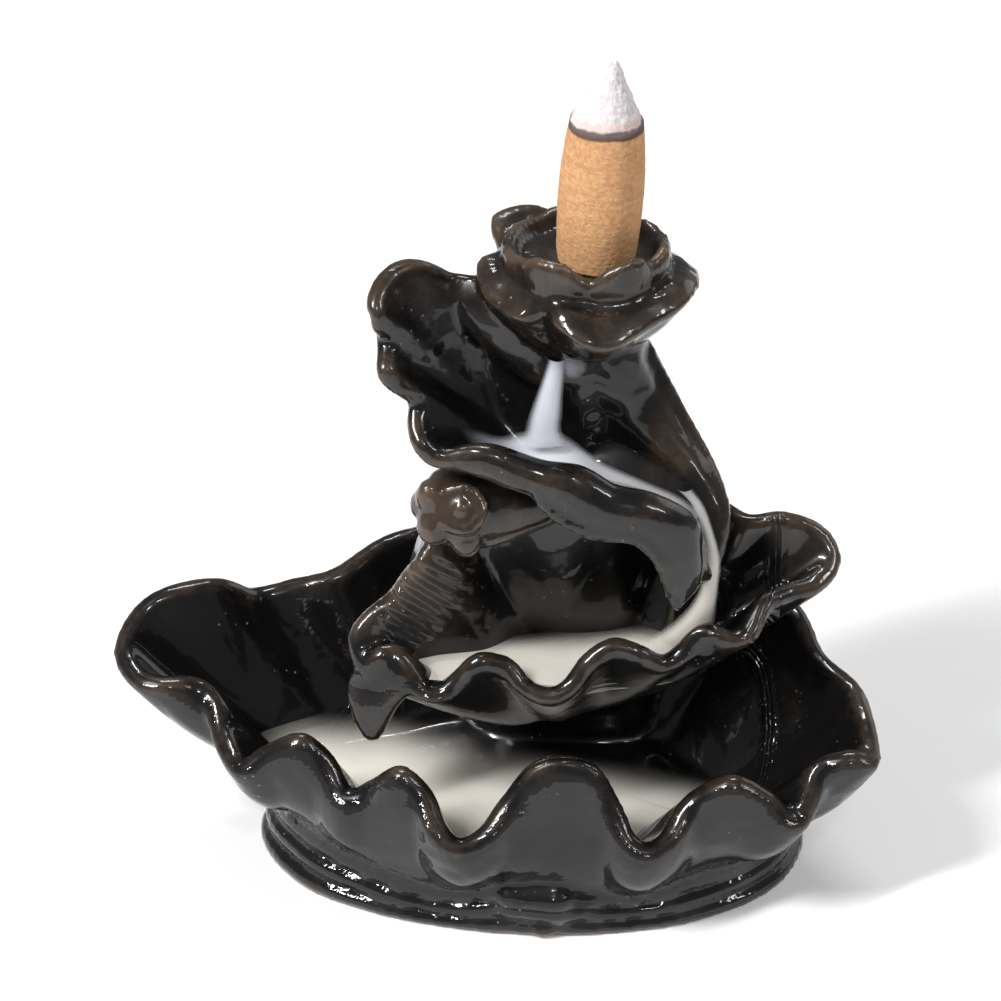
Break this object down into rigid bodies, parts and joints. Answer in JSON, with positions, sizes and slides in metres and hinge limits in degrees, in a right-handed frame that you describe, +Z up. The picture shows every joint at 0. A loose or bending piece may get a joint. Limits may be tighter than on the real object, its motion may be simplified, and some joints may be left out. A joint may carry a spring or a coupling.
{
  "type": "backflow incense burner",
  "caption": "Glazed ceramic backflow incense burner: lotus leaves step down to a ruffled basin, with an incense cone in a flower cup.",
  "frame": {"origin": "on the table under the middle of the burner's bounding box", "axes": "+Z up, +X to the burner's right as it is looked at from the front, +Y to its back"},
  "size_m": [0.1108, 0.0598, 0.128],
  "materials": {
    "glazed_ceramic": "gloss",
    "incense_powder": "matte"
  },
  "bodies": {
    "root": {"burner_body": "glazed_ceramic", "incense_cone": "incense_powder"}
  },
  "joints": []
}
